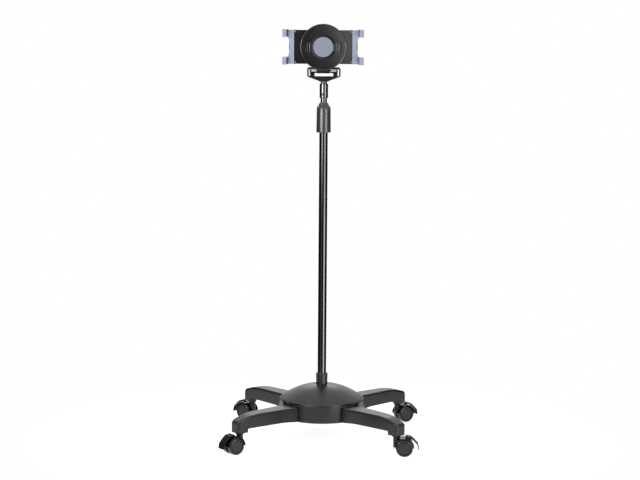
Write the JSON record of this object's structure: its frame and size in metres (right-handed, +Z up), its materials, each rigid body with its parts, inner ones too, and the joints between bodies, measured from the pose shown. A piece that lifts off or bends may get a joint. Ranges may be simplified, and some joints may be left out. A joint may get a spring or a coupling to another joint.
{
  "type": "adjustable tablet floor stand",
  "caption": "Rolling floor stand with a telescopic pole, a round four-leg caster base and a tilting, rotating holder whose hooked jaws grip a tablet.",
  "frame": {"origin": "on the floor, on the pole's axis, under the middle of the base", "axes": "+Z up along the pole; -Y is the side that the tablet faces; +X to the right seen from the front"},
  "size_m": [0.5841, 0.5553, 1.2378],
  "materials": {
    "charcoal_plastic": "moulded, fine matte texture",
    "black_gloss_plastic": "moulded gloss black",
    "brake_plastic": "moulded black",
    "wheel_plastic": "satin dark grey nylon",
    "black_gloss_tube": "gloss black coated steel tube",
    "grip_plastic": "satin black moulding",
    "black_plastic": "fine satin texture",
    "grey_jaw_plastic": "grey satin moulding",
    "pad_rubber": "soft matte rubber",
    "acetal": "natural acetal",
    "plated_steel": "zinc plated",
    "base_steel": "black coated plate",
    "hub_plastic": "black moulding"
  },
  "bodies": {
    "base": {"base_hub": "charcoal_plastic", "dome_cover": "charcoal_plastic", "base_plate": "base_steel", "leg_bolts": "plated_steel", "pole_bolt": "plated_steel", "pole_foot": "base_steel", "pole_collar": "black_gloss_plastic", "lower_pole": "black_gloss_tube", "lock_body": "acetal", "clamp_collet": "acetal", "caster_stems": "plated_steel", "leg_front_right": "charcoal_plastic", "leg_front_left": "charcoal_plastic", "leg_rear_right": "charcoal_plastic", "leg_rear_left": "charcoal_plastic"},
    "twist_grip": {"grip_sleeve": "grip_plastic"},
    "upper_mast": {"upper_pole": "black_gloss_tube", "guide_bush": "acetal", "head_socket": "black_gloss_tube"},
    "button": {"snap_button": "plated_steel"},
    "yoke": {"head_yoke": "black_plastic", "pan_screw": "plated_steel", "tilt_axle": "plated_steel"},
    "bracket": {"tilt_bracket": "black_plastic", "friction_washer": "acetal"},
    "holder": {"rotation_hub": "hub_plastic", "rotation_screw": "plated_steel", "rear_housing": "black_plastic", "housing_screws": "plated_steel", "front_disc": "black_plastic", "centre_pad": "pad_rubber"},
    "left_side": {"left_slide": "black_plastic", "left_jaw": "grey_jaw_plastic", "left_jaw_pads": "pad_rubber", "left_jaw_screws": "plated_steel"},
    "right_side": {"right_slide": "black_plastic", "right_jaw": "grey_jaw_plastic", "right_jaw_pads": "pad_rubber", "right_jaw_screws": "plated_steel"},
    "pinion_gear": {"pinion": "acetal"},
    "caster_front_right": {"caster_hood_front_right": "black_gloss_plastic", "caster_axle_front_right": "plated_steel"},
    "wheel_a_front_right_body": {"wheel_a_front_right": "wheel_plastic"},
    "wheel_b_front_right_body": {"wheel_b_front_right": "wheel_plastic"},
    "brake_front_right": {"brake_lever_front_right": "brake_plastic"},
    "caster_front_left": {"caster_hood_front_left": "black_gloss_plastic", "caster_axle_front_left": "plated_steel"},
    "wheel_a_front_left_body": {"wheel_a_front_left": "wheel_plastic"},
    "wheel_b_front_left_body": {"wheel_b_front_left": "wheel_plastic"},
    "brake_front_left": {"brake_lever_front_left": "brake_plastic"},
    "caster_rear_right": {"caster_hood_rear_right": "black_gloss_plastic", "caster_axle_rear_right": "plated_steel"},
    "wheel_a_rear_right_body": {"wheel_a_rear_right": "wheel_plastic"},
    "wheel_b_rear_right_body": {"wheel_b_rear_right": "wheel_plastic"},
    "brake_rear_right": {"brake_lever_rear_right": "brake_plastic"},
    "caster_rear_left": {"caster_hood_rear_left": "black_gloss_plastic", "caster_axle_rear_left": "plated_steel"},
    "wheel_a_rear_left_body": {"wheel_a_rear_left": "wheel_plastic"},
    "wheel_b_rear_left_body": {"wheel_b_rear_left": "wheel_plastic"},
    "brake_rear_left": {"brake_lever_rear_left": "brake_plastic"}
  },
  "joints": [
    {"name": "caster_swivel_front_right", "type": "hinge", "parent": "base", "child": "caster_front_right", "pos_m": [0.22698, -0.22698, 0.05], "axis": [0, 0, 1], "continuous": true},
    {"name": "wheel_spin_a_front_right", "type": "hinge", "parent": "caster_front_right", "child": "wheel_a_front_right_body", "pos_m": [0.24997, -0.22618, 0.025], "axis": [-0.0349, 0.9994, 0], "continuous": true},
    {"name": "wheel_spin_b_front_right", "type": "hinge", "parent": "caster_front_right", "child": "wheel_b_front_right_body", "pos_m": [0.24997, -0.22618, 0.025], "axis": [-0.0349, 0.9994, 0], "continuous": true},
    {"name": "brake_press_front_right", "type": "hinge", "parent": "caster_front_right", "child": "brake_front_right", "pos_m": [0.25596, -0.22597, 0.0572], "axis": [-0.0349, 0.9994, 0], "range_deg": [0, 10]},
    {"name": "caster_swivel_front_left", "type": "hinge", "parent": "base", "child": "caster_front_left", "pos_m": [-0.22698, -0.22698, 0.05], "axis": [0, 0, 1], "continuous": true},
    {"name": "wheel_spin_a_front_left", "type": "hinge", "parent": "caster_front_left", "child": "wheel_a_front_left_body", "pos_m": [-0.2446, -0.24177, 0.025], "axis": [0.6428, -0.766, 0], "continuous": true},
    {"name": "wheel_spin_b_front_left", "type": "hinge", "parent": "caster_front_left", "child": "wheel_b_front_left_body", "pos_m": [-0.2446, -0.24177, 0.025], "axis": [0.6428, -0.766, 0], "continuous": true},
    {"name": "brake_press_front_left", "type": "hinge", "parent": "caster_front_left", "child": "brake_front_left", "pos_m": [-0.2492, -0.24562, 0.0572], "axis": [0.6428, -0.766, 0], "range_deg": [0, 10]},
    {"name": "caster_swivel_rear_right", "type": "hinge", "parent": "base", "child": "caster_rear_right", "pos_m": [0.22698, 0.22698, 0.05], "axis": [0, 0, 1], "continuous": true},
    {"name": "wheel_spin_a_rear_right", "type": "hinge", "parent": "caster_rear_right", "child": "wheel_a_rear_right_body", "pos_m": [0.2467, 0.23883, 0.025], "axis": [-0.515, 0.8572, 0], "continuous": true},
    {"name": "wheel_spin_b_rear_right", "type": "hinge", "parent": "caster_rear_right", "child": "wheel_b_rear_right_body", "pos_m": [0.2467, 0.23883, 0.025], "axis": [-0.515, 0.8572, 0], "continuous": true},
    {"name": "brake_press_rear_right", "type": "hinge", "parent": "caster_rear_right", "child": "brake_rear_right", "pos_m": [0.25184, 0.24192, 0.0572], "axis": [-0.515, 0.8572, 0], "range_deg": [0, 10]},
    {"name": "caster_swivel_rear_left", "type": "hinge", "parent": "base", "child": "caster_rear_left", "pos_m": [-0.22698, 0.22698, 0.05], "axis": [0, 0, 1], "continuous": true},
    {"name": "wheel_spin_a_rear_left", "type": "hinge", "parent": "caster_rear_left", "child": "wheel_a_rear_left_body", "pos_m": [-0.24627, 0.23951, 0.025], "axis": [-0.5446, -0.8387, 0], "continuous": true},
    {"name": "wheel_spin_b_rear_left", "type": "hinge", "parent": "caster_rear_left", "child": "wheel_b_rear_left_body", "pos_m": [-0.24627, 0.23951, 0.025], "axis": [-0.5446, -0.8387, 0], "continuous": true},
    {"name": "brake_press_rear_left", "type": "hinge", "parent": "caster_rear_left", "child": "brake_rear_left", "pos_m": [-0.2513, 0.24278, 0.0572], "axis": [-0.5446, -0.8387, 0], "range_deg": [0, 10]},
    {"name": "grip_twist", "type": "hinge", "parent": "base", "child": "twist_grip", "pos_m": [0, 0, 0.95], "axis": [0, 0, 1], "range_deg": [0, 90]},
    {"name": "mast_height", "type": "slide", "parent": "base", "child": "upper_mast", "axis": [0, 0, 1], "range_m": [0, 0.5]},
    {"name": "snap_press", "type": "slide", "parent": "upper_mast", "child": "button", "axis": [0.2756, 0.9613, 0], "range_m": [0, 0.0042], "stiffness_N_per_m": 600},
    {"name": "head_pan", "type": "hinge", "parent": "upper_mast", "child": "yoke", "pos_m": [0, 0, 1.055], "axis": [0, 0, 1], "range_deg": [-175, 175]},
    {"name": "head_tilt", "type": "hinge", "parent": "yoke", "child": "bracket", "pos_m": [0, -0.014, 1.1004], "axis": [-1, 0, 0], "range_deg": [-20, 60]},
    {"name": "holder_rotation", "type": "hinge", "parent": "bracket", "child": "holder", "pos_m": [0, -0.04, 1.1704], "axis": [0, -1, 0], "range_deg": [-90, 90]},
    {"name": "jaw_spread", "type": "slide", "parent": "holder", "child": "left_side", "axis": [-1, 0, 0], "range_m": [-0.015, 0.025]},
    {"name": "right_jaw_spread", "type": "slide", "parent": "holder", "child": "right_side", "axis": [1, 0, 0], "range_m": [-0.015, 0.025]},
    {"name": "pinion_turn", "type": "hinge", "parent": "holder", "child": "pinion_gear", "pos_m": [0, -0.048, 1.1704], "axis": [0, -1, 0], "range_deg": [-86, 144]}
  ],
  "couplings": [
    {"joint": "right_jaw_spread", "follows": "jaw_spread", "ratio": 1},
    {"joint": "pinion_turn", "follows": "jaw_spread", "rad_per_m": 100}
  ]
}
